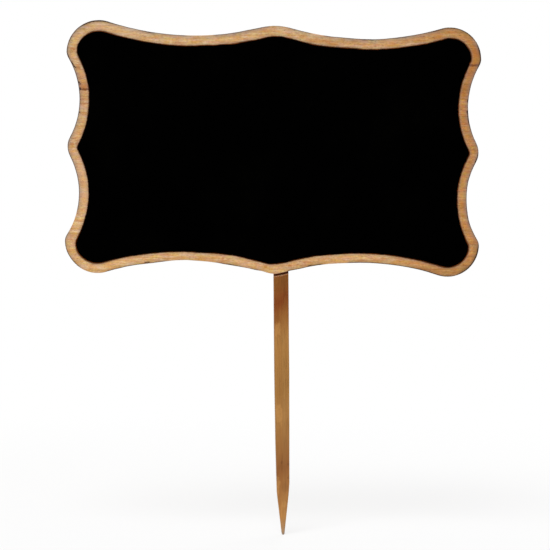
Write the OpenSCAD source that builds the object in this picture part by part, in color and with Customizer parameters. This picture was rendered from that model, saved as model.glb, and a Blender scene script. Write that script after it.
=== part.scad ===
// Small chalkboard sign on a pointed bamboo stake, for a plant pot or a garden bed.
// The board is laser-cut three-ply with a painted writing panel. The stake is glued to its back.
// Millimetres. The stake's tip is the origin, +Z is up, and the writing panel faces -Y.

/* [Board outline] */
// Width across the corner lobes
board_w = 100.2; // [85:0.1:130]
// Height across the corner lobes
board_h = 60.5; // [54:0.1:80]
// Radius of each corner lobe
lobe_r = 7.8; // [6.5:0.1:9.5]
// Radius where a lobe turns into the top or bottom edge
long_shoulder_r = 5.9; // [4:0.1:7]
// Radius where a lobe turns into a side edge
short_shoulder_r = 3.1; // [2.6:0.1:5]
// Where the lobe's own arc ends towards the top edge, in degrees from the right
lobe_top_angle = 94.5; // [92:0.5:98]
// Where the lobe's own arc ends towards the side edge, in degrees from the right
lobe_side_angle = 2.7; // [0:0.1:5]
// How far the middle bump of the top and bottom edges stays inside the lobes
long_bump_drop = 0.5; // [0:0.05:2]
// Radius of the middle bump of the top and bottom edges
long_bump_r = 14; // [10:0.1:26]
// Radius of the hollows in the top and bottom edges
long_hollow_r = 66.5; // [45:0.1:90]
// How far the middle bump of each side edge stays inside the lobes
short_bump_drop = 0.45; // [0:0.05:2]
// Radius of the middle bump of each side edge
short_bump_r = 4.8; // [3.5:0.1:7]
// Radius of the hollows in the side edges
short_hollow_r = 19.3; // [14:0.1:28]

/* [Board layers] */
// Thickness of the front veneer
face_veneer_t = 0.8; // [0.5:0.05:1.2]
// Thickness of the crosswise middle veneer
core_veneer_t = 1.2; // [0.8:0.05:2]
// Thickness of the rear veneer
back_veneer_t = 0.8; // [0.5:0.05:1.2]
// Thickness of each resin line between two veneers
bond_line_t = 0.1; // [0.05:0.01:0.15]

/* [Writing panel] */
// Width of the bare wood rim round the panel
rim_w = 2.36; // [1.6:0.01:2.5]
// How far the panel is printed below the board's middle
panel_drop = 0.17; // [0:0.01:0.4]
// Thickness of the chalkboard paint
coat_t = 0.12; // [0.08:0.01:0.25]

/* [Stake] */
// Length from the tip to the top end
stake_len = 100; // [85:1:112]
// Height of the board's lowest middle edge above the tip
clear_len = 64.15; // [50:0.05:74]
// Width of the stake where its sides are parallel
stake_w = 3.57; // [3.4:0.01:5]
// Height above the tip at which the sides turn parallel
taper_h = 40; // [30:0.5:60]
// Width that the sides run to at the level of the tip
stake_foot_w = 3.06; // [3:0.01:3.4]
// Thickness from front to back
stake_t = 2.4; // [1.8:0.1:3.5]
// Lean of the stake to the left, going up, in degrees
stake_lean = 1.2; // [0:0.1:3]
// How far the tip lies to the right of the board's middle
tip_shift = 3.49; // [0:0.01:6]

/* [Point] */
// Height of the steep cut of the point
point_len = 10.4; // [8:0.1:11.5]
// Width at the top of the steep cut
point_w = 2.85; // [2.2:0.05:3]
// Height at which the shallow cut starts on the left side
left_cut_h = 23.5; // [13:0.5:26]
// Height at which the shallow cut starts on the right side
right_cut_h = 13; // [12:0.5:24]
// Radius of the tip, seen from the front
tip_r = 0.35; // [0.1:0.05:0.5]
// Thickness of the tip, from front to back
tip_t = 0.7; // [0.4:0.1:1.6]
// Height over which the front and back faces run in to the tip
flat_cut_h = 9; // [6:0.5:14]

/* [Glue] */
// Thickness of the glue between the board and the stake
film_t = 0.2; // [0.1:0.05:0.5]
// How far the glue spreads past each side of the stake
spread_w = 1.5; // [0.8:0.1:2.5]
// How high the glue climbs the sides of the stake
climb_h = 1.1; // [0.5:0.1:1.5]
// Width of the glue's crest against the stake
crest_w = 0.25; // [0.1:0.05:0.5]
// Length of stake left free of glue below its top end
free_top = 4; // [1:0.5:8]
// Height at which the spread glue starts above the board's lower edge
free_foot = 1.5; // [0.5:0.1:4]
// Height of the glue squeezed out under the board's lower edge
lip_h = 1.2; // [0.6:0.05:1.6]
// How far the squeezed-out glue lies to the left of the board's middle
lip_shift = 1.4; // [0:0.1:2]
// Width of the bead along the lower edge of the squeezed-out glue
bead_w = 0.3; // [0.2:0.05:0.4]
// How far that bead stands off the glue above it
bead_t = 0.25; // [0.1:0.05:0.6]

/* [Hidden] */

// The most that a facet may stand off a true curve
facet_sag = 0.012;
// Overrun of a cut past the faces it goes through
overrun = 1;

long_bump_z = board_h / 2 - long_bump_drop;
short_bump_x = board_w / 2 - short_bump_drop;
board_mid = [-tip_shift, clear_len + long_bump_z];

// Levels from front to back: each layer's rear face, in Y
stake_front = -stake_t / 2;
back_veneer_y = stake_front - film_t;
back_bond_y = back_veneer_y - back_veneer_t;
core_veneer_y = back_bond_y - bond_line_t;
front_bond_y = core_veneer_y - core_veneer_t;
face_veneer_y = front_bond_y - bond_line_t;
coat_y = face_veneer_y - face_veneer_t;

wood_tan = [0.80, 0.61, 0.39];
core_tan = [0.70, 0.50, 0.30];
resin_brown = [0.30, 0.17, 0.08];
chalkboard_black = [0.03, 0.03, 0.03];
bamboo_brown = [0.62, 0.44, 0.25];
glue_amber = [0.86, 0.78, 0.60];

// Point on a circle, at angle a
function on_circle(c, r, a) = c + r * [cos(a), sin(a)];

// Direction from one point to another, in degrees
function bearing(a, b) = atan2(b[1] - a[1], b[0] - a[0]);

// The same direction, from 0 to 360 degrees
function full_bearing(a, b) = (bearing(a, b) + 360) % 360;

// Centre of a circle of radius r that touches the circles about a and b from outside,
// on the left as one goes from a to b
function touching_centre(a, ra, b, rb, r) =
    let (d = norm(b - a),
         to_a = ra + r,
         to_b = rb + r,
         along = (d * d + to_a * to_a - to_b * to_b) / (2 * d),
         across = sqrt(to_a * to_a - along * along),
         u = (b - a) / d)
    a + along * u + across * [-u[1], u[0]];

// Points along an arc, without its last one
function arc(c, r, from, to) =
    let (n = max(1, ceil(abs(to - from) / (2 * acos(1 - facet_sag / r)))))
    [for (i = [0 : n - 1]) on_circle(c, r, from + (to - from) * i / n)];

// One quarter of the outline, from the top bump to the right side bump, drawn in by inset.
// Every arc touches the next one, so the whole edge is smooth.
function quarter(inset) =
    let (lobe = [board_w / 2 - lobe_r, board_h / 2 - lobe_r],
         long_shoulder = on_circle(lobe, lobe_r - long_shoulder_r, lobe_top_angle),
         short_shoulder = on_circle(lobe, lobe_r - short_shoulder_r, lobe_side_angle),
         long_bump = [0, long_bump_z - long_bump_r],
         short_bump = [short_bump_x - short_bump_r, 0],
         long_hollow = touching_centre(long_bump, long_bump_r,
                                       long_shoulder, long_shoulder_r, long_hollow_r),
         short_hollow = touching_centre(short_shoulder, short_shoulder_r,
                                        short_bump, short_bump_r, short_hollow_r))
    concat(
        arc(long_bump, long_bump_r - inset, 90, bearing(long_bump, long_hollow)),
        arc(long_hollow, long_hollow_r + inset,
            bearing(long_hollow, long_bump), bearing(long_hollow, long_shoulder)),
        arc(long_shoulder, long_shoulder_r - inset,
            bearing(long_shoulder, long_hollow), lobe_top_angle),
        arc(lobe, lobe_r - inset, lobe_top_angle, lobe_side_angle),
        arc(short_shoulder, short_shoulder_r - inset,
            lobe_side_angle, bearing(short_shoulder, short_hollow)),
        arc(short_hollow, short_hollow_r + inset,
            full_bearing(short_hollow, short_shoulder), full_bearing(short_hollow, short_bump)),
        arc(short_bump, short_bump_r - inset, bearing(short_bump, short_hollow), 0),
        [[short_bump_x - inset, 0]]);

// The whole outline: the quarter, mirrored downwards and then to the left
function outline(inset) =
    let (q = quarter(inset),
         right = concat(q, [for (i = [len(q) - 2 : -1 : 0]) [q[i][0], -q[i][1]]]))
    concat(right, [for (i = [len(right) - 2 : -1 : 1]) [-right[i][0], right[i][1]]]);

// Half the width of the stake's uncut sides at height h
function side_x(h) = (stake_foot_w + (stake_w - stake_foot_w) * min(h / taper_h, 1)) / 2;

// A flat shape in X and Z, from rear_y forwards by t
module upright(rear_y, t) {
    translate([0, rear_y, 0])
        rotate([90, 0, 0])
            linear_extrude(t)
                children();
}

// One layer of the board
module board_layer(rear_y, t, inset = 0, drop = 0) {
    upright(rear_y, t)
        translate([board_mid[0], board_mid[1] - drop])
            polygon(outline(inset));
}

// Turns the stake's own upright frame about the tip to its lean
module leaning() {
    rotate([0, -stake_lean, 0])
        children();
}

// The stake seen from the front: round tip, steep cut, shallow cut, tapered sides
module stake_front_view() {
    flank = atan2(point_w / 2 - tip_r, point_len - tip_r);
    polygon(concat(
        arc([0, tip_r], tip_r, 180 + flank, 360 - flank),
        [on_circle([0, tip_r], tip_r, 360 - flank),
         [point_w / 2, point_len],
         [side_x(right_cut_h), right_cut_h],
         [side_x(taper_h), taper_h],
         [side_x(stake_len), stake_len],
         [-side_x(stake_len), stake_len],
         [-side_x(taper_h), taper_h],
         [-side_x(left_cut_h), left_cut_h],
         [-point_w / 2, point_len]]));
}

// The stake seen from its right side: X here is the depth
module stake_side_view() {
    polygon([[-tip_t / 2, 0],
             [tip_t / 2, 0],
             [stake_t / 2, flat_cut_h],
             [stake_t / 2, stake_len],
             [-stake_t / 2, stake_len],
             [-stake_t / 2, flat_cut_h]]);
}

// The stake in its own frame
module stake_body() {
    intersection() {
        upright(stake_t / 2, stake_t)
            stake_front_view();
        translate([-stake_w / 2 - overrun, 0, 0])
            rotate([90, 0, 90])
                linear_extrude(stake_w + 2 * overrun)
                    stake_side_view();
    }
}

// A round dab of glue about the stake's middle line, standing off the back veneer
module dab(h, reach, height) {
    translate([0, back_veneer_y, h])
        rotate([-90, 0, 0])
            cylinder(h = height, r = side_x(h) + reach, $fn = 32);
}

// Glue between the board and the stake, spread in a fillet along both its sides
module glue_spread() {
    foot = clear_len + free_foot + spread_w + side_x(clear_len);
    top = stake_len - free_top - spread_w - side_x(stake_len);
    difference() {
        leaning()
            hull() {
                dab(foot, spread_w, film_t);
                dab(top, spread_w, film_t);
                dab(foot, crest_w, film_t + climb_h);
                dab(top, crest_w, film_t + climb_h);
            }
        leaning()
            stake_body();
    }
}

// Thin glue that runs on down past the board's lower edge and ends in a bead
module glue_lip() {
    foot = clear_len + free_foot + spread_w + side_x(clear_len);
    intersection() {
        leaning()
            upright(stake_front, film_t + bead_t)
                polygon([[-side_x(foot), 0],
                         [side_x(foot), 0],
                         [side_x(foot), foot],
                         [-side_x(foot), foot]]);
        union() {
            upright(stake_front, film_t)
                lip_view(lip_h, foot);
            upright(stake_front, film_t + bead_t)
                difference() {
                    lip_view(lip_h, clear_len);
                    lip_view(lip_h - bead_w, clear_len + overrun);
                }
        }
    }
}

// The lip seen from the front, with its lower edge reaching down by reach, cut off at the height top
module lip_view(reach, top) {
    bump = board_mid - [lip_shift, long_bump_z - long_bump_r];
    intersection() {
        translate(bump)
            circle(r = long_bump_r + reach, $fn = 180);
        translate([board_mid[0] - board_w / 4, 0])
            square([board_w / 2, top]);
    }
}

module face_veneer() {
    color(wood_tan)
        board_layer(face_veneer_y, face_veneer_t);
}

module front_bond_line() {
    color(resin_brown)
        board_layer(front_bond_y, bond_line_t);
}

module core_veneer() {
    color(core_tan)
        board_layer(core_veneer_y, core_veneer_t);
}

module back_bond_line() {
    color(resin_brown)
        board_layer(back_bond_y, bond_line_t);
}

module back_veneer() {
    color(wood_tan)
        board_layer(back_veneer_y, back_veneer_t);
}

module chalkboard_coat() {
    color(chalkboard_black)
        board_layer(coat_y, coat_t, rim_w, panel_drop);
}

module stake() {
    color(bamboo_brown)
        leaning()
            stake_body();
}

module hot_glue() {
    color(glue_amber)
        union() {
            glue_spread();
            glue_lip();
        }
}

face_veneer();
front_bond_line();
core_veneer();
back_bond_line();
back_veneer();
chalkboard_coat();
stake();
hot_glue();
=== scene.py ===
"""A small chalkboard sign on a bamboo stake: its surfaces, its light and its camera.

The board is laser-cut three-ply with a scorched edge and a painted writing panel. The stake is a
flat bamboo splint with a cut point, held to the board's back by hot-melt glue.
"""

import math

import bmesh
import bpy
from mathutils import Matrix, Vector, kdtree, noise

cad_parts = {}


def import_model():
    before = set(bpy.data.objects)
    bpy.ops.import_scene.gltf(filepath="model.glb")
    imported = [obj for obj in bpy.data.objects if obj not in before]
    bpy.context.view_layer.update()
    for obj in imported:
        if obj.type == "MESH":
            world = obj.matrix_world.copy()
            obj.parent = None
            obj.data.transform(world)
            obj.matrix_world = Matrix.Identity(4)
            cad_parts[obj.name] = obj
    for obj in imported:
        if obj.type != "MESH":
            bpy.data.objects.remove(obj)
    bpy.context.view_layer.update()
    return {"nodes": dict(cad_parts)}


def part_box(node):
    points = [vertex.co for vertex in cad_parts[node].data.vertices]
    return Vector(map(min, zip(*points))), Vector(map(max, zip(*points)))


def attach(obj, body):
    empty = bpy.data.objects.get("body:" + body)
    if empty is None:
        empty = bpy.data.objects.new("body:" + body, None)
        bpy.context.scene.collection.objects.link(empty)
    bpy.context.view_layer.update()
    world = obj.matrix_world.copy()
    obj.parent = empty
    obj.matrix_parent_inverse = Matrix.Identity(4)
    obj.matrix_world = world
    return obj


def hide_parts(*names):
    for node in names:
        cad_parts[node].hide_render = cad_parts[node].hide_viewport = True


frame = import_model()

MM = 0.001
BODY = "root"

# The board and the stake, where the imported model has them
board_low, board_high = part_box("face_veneer")
rear_low, rear_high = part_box("back_veneer")
panel_low, panel_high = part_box("chalkboard_coat")
stake_low, stake_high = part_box("stake")
board_middle = Vector(((board_low.x + board_high.x) / 2, board_low.y, (board_low.z + board_high.z) / 2))
stake_tip = Vector((0, 0, 0))
stake_lean = math.radians(1.2)
stake_length = stake_high.z / MM

# How the photograph sees the board: its middle, its scale and its slant to the camera
PHOTO_WIDTH = 550
BOARD_PIXEL = Vector((274.81, 149.55))
PIXELS_PER_M = 4151
VIEW_DISTANCE = 0.4
CLIP_START = 0.01
BOARD_YAW = math.radians(3.86)
BOARD_PITCH = math.radians(1.40)
BOARD_ROLL = math.radians(0.71)
SENSOR_WIDTH = 36

SAME_POINT = 0.002 * MM
SAME_PLANE = math.radians(0.3)
SMOOTH_BELOW = math.radians(35)
FLAT_NORMAL = 0.99


def colour(red, green, blue):
    """A colour given from 0 to 255 as it looks, for a shader's socket."""
    shares = [channel / 255 for channel in (red, green, blue)]
    return (*(((share + 0.055) / 1.055) ** 2.4 if share > 0.04 else share / 12.92 for share in shares), 1)


# Making and shaping pieces


def take(piece):
    """Makes one piece the only thing that an operator acts on."""
    bpy.ops.object.select_all(action="DESELECT")
    piece.select_set(True)
    bpy.context.view_layer.objects.active = piece


def open_mesh(piece, kind="FACE"):
    """Enters edit mode on a piece with nothing selected, and gives its mesh."""
    take(piece)
    bpy.ops.object.mode_set(mode="EDIT")
    bpy.ops.mesh.select_mode(type=kind)
    bpy.ops.mesh.select_all(action="DESELECT")
    return bmesh.from_edit_mesh(piece.data)


def close_mesh(piece):
    """Leaves edit mode and shades the piece smooth, but for its corners."""
    bmesh.update_edit_mesh(piece.data)
    bpy.ops.object.mode_set(mode="OBJECT")
    take(piece)
    bpy.ops.object.shade_smooth_by_angle(angle=SMOOTH_BELOW)


def new_object(name, data):
    """A new object in the scene."""
    made = bpy.data.objects.new(name, data)
    bpy.context.scene.collection.objects.link(made)
    return made


def copy_node(node, name, materials):
    """A new piece with a node's shape, its loose triangles joined and its flat faces whole."""
    piece = new_object(name, frame["nodes"][node].data.copy())
    piece.data.materials.clear()
    for material in materials:
        piece.data.materials.append(material)
    take(piece)
    bpy.ops.mesh.customdata_custom_splitnormals_clear()
    open_mesh(piece)
    bpy.ops.mesh.select_all(action="SELECT")
    bpy.ops.mesh.remove_doubles(threshold=SAME_POINT)
    bpy.ops.mesh.dissolve_limited(angle_limit=SAME_PLANE)
    bpy.ops.object.mode_set(mode="OBJECT")
    return piece


def pick(parts, test):
    """Selects the faces or edges that pass a test, and no others."""
    for each in parts:
        each.select_set(False)
    for each in [each for each in parts if test(each)]:
        each.select_set(True)


def move_each(mesh, move_of):
    """Moves each vertex by what a function gives for it, with all of them measured before any moves."""
    moves = [(vertex, move_of(vertex)) for vertex in mesh.verts]
    for vertex, move in moves:
        vertex.co += move


def slice_through(low, high, step, normal):
    """Cuts the whole piece by parallel planes from low to high along a normal."""
    at = low + step
    while at < high - step / 2:
        bpy.ops.mesh.select_all(action="SELECT")
        bpy.ops.mesh.bisect(plane_co=Vector(normal) * at, plane_no=normal)
        at += step


def finish_piece(piece, node):
    """Hands a finished piece to the model in place of its node."""
    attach(piece, BODY)
    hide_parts(node)


# The board's layers

OUTLINE_CUTS = 4
CUT_WANDER = 0.05 * MM
CUT_WANDER_LENGTH = 1.8 * MM
CUT_CORNER = 0.14 * MM
CORE_BURNT_BACK = 0.03 * MM
RESIN_BURNT_BACK = 0.05 * MM
RING_STEPS = (0.1, 0.12, 0.18, 0.3)
REAR_GRID = 3.4 * MM
PANEL_CUTS = 5
PAINT_MARGIN = 0.6 * MM
PAINT_STEPS = (0.2, 0.15, 0.1, 0.1, 0.1, 0.1)

# Where the cut strays from its curve: how far right of the board's middle and above it, a reach and an
# amount outwards, in millimetres
CUT_SWELLS = (
    (47.2, -7.2, 3.0, -0.1),
    (47.8, -17.3, 3.0, -0.12),
    (36.0, -28.8, 5.0, -0.12),
    (18.0, -27.0, 4.0, 0.09),
    (6.4, -28.4, 2.0, 0.1),
    (0.3, -30.2, 1.8, 0.24),
    (-2.8, -29.4, 1.2, -0.12),
    (-10.4, -27.8, 3.5, 0.15),
    (-21.8, -27.0, 3.0, -0.14),
    (-29.4, -27.5, 3.0, 0.15),
    (-48.1, -27.7, 3.0, -0.14),
    (-47.9, -16.7, 4.5, -0.09),
    (-47.1, -10.0, 4.0, -0.07),
    (-6.7, 28.7, 3.0, 0.1),
    (16.6, 27.3, 3.0, 0.09),
    (25.0, 27.2, 4.0, -0.09),
    (50.0, 22.3, 4.0, -0.13),
)

# Where the cut is burnt more, less or hardly at all, and where paint seeps into the wood: how far right of
# the board's middle and above it, a half length and a half width in millimetres, and a share
HEAVY_BURNS = (
    (-44.5, 30.5, 9.0, 2.2, 1.0),
    (-50.0, 23.5, 1.6, 5.0, 0.4),
    (-4.9, 29.1, 1.8, 1.0, 0.5),
    (-47.2, 11.4, 1.2, 2.2, 0.45),
    (-48.8, 3.2, 1.2, 1.6, 0.25),
    (41.0, 30.5, 8.0, 2.2, 0.75),
    (51.6, 22.0, 3.0, 10.5, 1.0),
    (48.6, 9.0, 2.0, 5.0, 1.0),
    (49.4, -1.2, 1.2, 1.8, 0.4),
    (48.0, -26.5, 4.5, 5.0, 1.0),
    (10.3, -28.5, 1.8, 1.3, 0.7),
    (-11.4, -28.5, 2.0, 1.3, 0.65),
    (22.0, 27.3, 2.0, 1.2, 0.5),
    (46.0, 28.5, 2.5, 2.5, 0.75),
)
LIGHT_BURNS = (
    (-25.0, -28.0, 21.0, 3.0, 1.0),
    (-5.5, -28.8, 3.0, 1.5, 1.0),
    (-50.0, -23.0, 3.0, 7.5, 0.7),
    (-44.0, -29.5, 4.0, 2.0, 1.0),
    (16.0, -28.0, 5.0, 2.0, 1.0),
    (26.0, -27.2, 9.5, 1.6, 0.45),
    (48.0, -18.0, 2.0, 2.5, 0.6),
    (-46.9, -10.0, 1.5, 6.5, 0.5),
    (-47.2, 7.2, 1.5, 1.5, 0.5),
    (-25.7, 27.3, 2.2, 1.2, 0.5),
    (-18.0, 28.5, 6.5, 2.0, 1.0),
    (9.0, 28.8, 11.0, 2.5, 1.0),
    (15.5, 27.4, 5.0, 1.3, 0.6),
    (-12.0, 28.0, 2.4, 1.3, 0.8),
)
CLEAN_CUTS = (
    (-19.5, -27.2, 7.0, 2.0, 1.0),
    (-6.4, -28.6, 1.6, 1.2, 0.35),
    (0.0, -29.8, 4.0, 1.8, 1.0),
    (15.0, -27.5, 3.5, 2.0, 1.0),
    (-43.5, -30.0, 4.0, 2.0, 1.0),
    (-18.6, 27.7, 4.2, 1.5, 1.0),
    (-48.2, -17.6, 1.5, 4.0, 1.0),
    (0.5, 29.9, 3.0, 1.3, 0.45),
    (10.0, 28.2, 2.2, 1.3, 1.0),
)
SEEPS = (
    (-41.7, 27.0, 4.0, 1.5, 1.0),
    (-46.6, 20.6, 1.5, 1.5, 1.0),
    (-45.2, 10.0, 1.5, 3.0, 1.0),
    (-46.0, -25.7, 2.5, 2.5, 1.4),
    (-41.0, -27.6, 5.0, 1.5, 1.3),
    (47.2, -22.7, 1.8, 2.5, 1.0),
    (41.0, -27.4, 6.0, 1.5, 1.0),
    (16.0, 24.9, 6.0, 0.8, 1.0),
    (8.6, 25.8, 1.5, 0.8, 1.0),
    (-8.5, 25.9, 2.5, 0.9, 1.0),
    (45.5, 25.0, 4.0, 4.0, 1.0),
)
# What these marks do at a full share, the burn where there are none, and how soft a mark's edge is
HEAVY_BURN = 1.2
LIGHT_BURN = 0.5
PLAIN_BURN = -0.15
CLEAN_SHARE = 0.9
SEEP_REACH = 0.13
MARK_EDGE = 0.9


def outward_in_the_sheet(vertex):
    """The direction out of the board's edge at a vertex, in the plane of the sheet."""
    return Vector((vertex.normal.x, 0, vertex.normal.z)).normalized()


def from_middle(place):
    """A place's distance to the right of the board's middle and above it, in millimetres."""
    return (place.x - board_middle.x) / MM, (place.z - board_middle.z) / MM


def swell_at(place, swells):
    """How far an edge of the board strays outwards at a place, by a list of swells."""
    x, z = from_middle(place)
    stray = 0.0
    for swell_x, swell_z, reach, amount in swells:
        away = math.hypot(x - swell_x, z - swell_z) / reach
        stray += amount * math.exp(-away * away)
    return stray * MM


def covered_at(place, marks):
    """How fully the fullest of some marks covers a place, from 0 up to the mark's share."""
    x, z = from_middle(place)
    fullest = 0.0
    for mark_x, mark_z, half_length, half_width, share in marks:
        along = ((x - mark_x) / half_length) ** 4
        across = ((z - mark_z) / half_width) ** 2
        inside = min(1.0, max(0.0, (1.0 - along - across) / MARK_EDGE))
        fullest = max(fullest, share * inside * inside * (3 - 2 * inside))
    return fullest


def burn_at(place):
    """How much more than usual the cut is burnt at a place, or how much less where it is below 0."""
    more = HEAVY_BURN * covered_at(place, HEAVY_BURNS)
    less = LIGHT_BURN * covered_at(place, LIGHT_BURNS)
    return more - less + PLAIN_BURN


def divided_copy(node, name, materials, cuts):
    """A copy of a flat layer with its outlines finely divided, left open for more work."""
    piece = copy_node(node, name, materials)
    mesh = open_mesh(piece, "EDGE")
    pick(mesh.edges, lambda edge: abs(edge.verts[0].co.y - edge.verts[1].co.y) < SAME_POINT)
    bpy.ops.mesh.subdivide(number_cuts=cuts)
    mesh = bmesh.from_edit_mesh(piece.data)
    mesh.normal_update()
    return piece, mesh


def cut_layer(node, name, materials, burnt_back):
    """A layer of the board, its edge as the laser left it: wavering, and burnt back in softer layers.

    It is left open for more work.
    """
    piece, mesh = divided_copy(node, name, materials, OUTLINE_CUTS)

    def burnt_off(vertex):
        waver = 0.5 + 0.5 * noise.noise(Vector((vertex.co.x, 0, vertex.co.z)) / CUT_WANDER_LENGTH)
        inward = burnt_back + CUT_WANDER * waver - swell_at(vertex.co, CUT_SWELLS)
        return outward_in_the_sheet(vertex) * -inward

    move_each(mesh, burnt_off)
    bmesh.update_edit_mesh(piece.data)
    return piece


def inner_layer(node, name, material, burnt_back):
    """A layer between the outer veneers, of which only the edge shows."""
    piece = cut_layer(node, name, (material,), burnt_back)
    close_mesh(piece)
    return piece


def write_distance(mesh, name, outline):
    """Writes on each vertex its distance in millimetres inwards from an outline.

    The outline is a list of points, each with its direction outwards.
    """
    tree = kdtree.KDTree(len(outline))
    for index, (point, outward) in enumerate(outline):
        tree.insert((point.x, 0, point.z), index)
    tree.balance()
    layer = mesh.verts.layers.float.new(name)
    for vertex in mesh.verts:
        flat = Vector((vertex.co.x, 0, vertex.co.z))
        nearest, index, away = tree.find(flat)
        inward = (nearest - flat).dot(outline[index][1])
        vertex[layer] = (inward if away < 1 * MM else math.copysign(away, inward)) / MM


def write_value(mesh, name, value_at):
    """Writes on each vertex a value that depends on its place."""
    layer = mesh.verts.layers.float.new(name)
    for vertex in mesh.verts:
        vertex[layer] = value_at(vertex.co)


def outlined_panel(name, materials, spread):
    """The coat of paint with its outline finely divided and spread outwards, left open for more work."""
    piece, mesh = divided_copy("chalkboard_coat", name, materials, PANEL_CUTS)
    move_each(mesh, lambda vertex: spread(vertex.co, outward_in_the_sheet(vertex)))
    return piece


def add_ground(piece, materials):
    """Puts the ground of the paint into the front veneer's face, with rings close by the paint's edge."""
    bpy.ops.mesh.delete(type="ONLY_FACE")
    bpy.ops.object.mode_set(mode="OBJECT")
    ground = outlined_panel("ground", materials, lambda place, outward: outward * PAINT_MARGIN)
    bpy.ops.mesh.select_mode(type="FACE")
    pick(bmesh.from_edit_mesh(ground.data).faces, lambda face: face.normal.y < FLAT_NORMAL)
    bpy.ops.mesh.delete(type="FACE")
    bpy.ops.mesh.select_all(action="SELECT")
    bpy.ops.mesh.flip_normals()
    for step in PAINT_STEPS:
        bpy.ops.mesh.inset(thickness=step * MM, depth=0)
    bpy.ops.object.mode_set(mode="OBJECT")
    take(piece)
    ground.select_set(True)
    bpy.ops.object.join()
    mesh = open_mesh(piece, "EDGE")
    pick(mesh.edges, lambda edge: len(edge.link_faces) == 1)
    bpy.ops.mesh.fill(use_beauty=True)
    bpy.ops.mesh.select_all(action="SELECT")
    bpy.ops.mesh.normals_make_consistent(inside=False)


def outer_ply(node, name, face_y, outward, materials, panel=None):
    """The front or rear veneer: its corner burnt round, its distance to cut and paint written on it."""
    piece = cut_layer(node, name, materials, 0)
    mesh = bmesh.from_edit_mesh(piece.data)
    mesh.normal_update()
    cut = [(vertex.co.copy(), outward_in_the_sheet(vertex)) for vertex in mesh.verts]

    def on_outer_face(part):
        return all(abs(vertex.co.y - face_y) < SAME_POINT for vertex in part.verts)

    pick(mesh.edges, on_outer_face)
    bpy.ops.mesh.bevel(offset=CUT_CORNER, segments=2, profile=0.5, affect="EDGES")
    bpy.ops.mesh.select_mode(type="FACE")
    mesh = bmesh.from_edit_mesh(piece.data)
    pick(mesh.faces, on_outer_face)
    for step in RING_STEPS:
        bpy.ops.mesh.inset(thickness=step * MM, depth=0)
    if panel is None:
        slice_through(board_low.x, board_high.x, REAR_GRID, (1, 0, 0))
        slice_through(board_low.z, board_high.z, REAR_GRID, (0, 0, 1))
    else:
        add_ground(piece, materials)
    mesh = bmesh.from_edit_mesh(piece.data)
    for face in mesh.faces:
        face.material_index = 0 if face.normal.y * outward > FLAT_NORMAL else 1
    write_distance(mesh, "cut_distance", cut)
    if panel is not None:
        paint = [(vertex.co, outward_in_the_sheet(vertex)) for vertex in panel.data.vertices]
        write_distance(mesh, "paint_distance", paint)
        write_value(mesh, "burn", burn_at)
        write_value(mesh, "clean", lambda place: CLEAN_SHARE * covered_at(place, CLEAN_CUTS))
        write_value(mesh, "seep", lambda place: SEEP_REACH * covered_at(place, SEEPS))
    close_mesh(piece)
    return piece


# Where the paint's edge strays from its curve, given like the swells of the cut
PAINT_SWELLS = (
    (46.0, -26.7, 5.0, -0.1),
    (38.5, -27.2, 5.0, -0.09),
    (26.0, -25.0, 5.0, -0.07),
    (9.9, -25.6, 1.8, -0.12),
    (-1.2, -27.4, 1.2, 0.1),
    (-9.6, -25.6, 2.0, -0.1),
    (-17.8, -24.8, 3.5, 0.15),
    (-41.0, -27.0, 8.0, -0.18),
    (-44.7, -9.9, 3.5, -0.06),
    (-47.4, 1.0, 2.5, -0.1),
    (-44.7, 11.4, 4.5, 0.08),
    (-47.4, 21.7, 3.5, 0.1),
    (-42.0, 27.2, 6.0, -0.08),
    (-17.6, 24.7, 2.2, 0.15),
    (-13.1, 25.1, 1.3, 0.07),
    (-10.2, 25.4, 1.5, -0.1),
    (-4.3, 26.6, 2.5, -0.08),
    (9.2, 25.6, 2.0, -0.1),
    (17.7, 24.7, 3.0, 0.16),
    (39.2, 27.2, 6.0, -0.12),
    (46.8, 25.5, 4.0, -0.07),
)
# Where the paint's edge is thinnest, as marks like those of the burns
THIN_PAINTS = (
    (-41.0, 27.5, 7.0, 3.0, 0.5),
    (-44.5, -24.5, 5.0, 5.0, 1.0),
    (-17.0, 24.8, 12.0, 2.0, 0.4),
    (46.0, -24.5, 4.0, 5.0, 0.5),
)
PANEL_CORNER = 0.1 * MM
BLEED = 0.06 * MM
BLEED_WIDTH = 0.5 * MM
BLEED_LENGTH = 4.5 * MM
WAVER = 0.045 * MM
WAVER_LENGTH = 2.6 * MM
SIDE_POINT = 0.13 * MM
SIDE_POINT_LENGTH = 0.8 * MM
SHOULDER = 22.4 * MM
SHOULDER_PULL = 0.2 * MM
SHOULDER_LENGTH = 1.2 * MM


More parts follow.
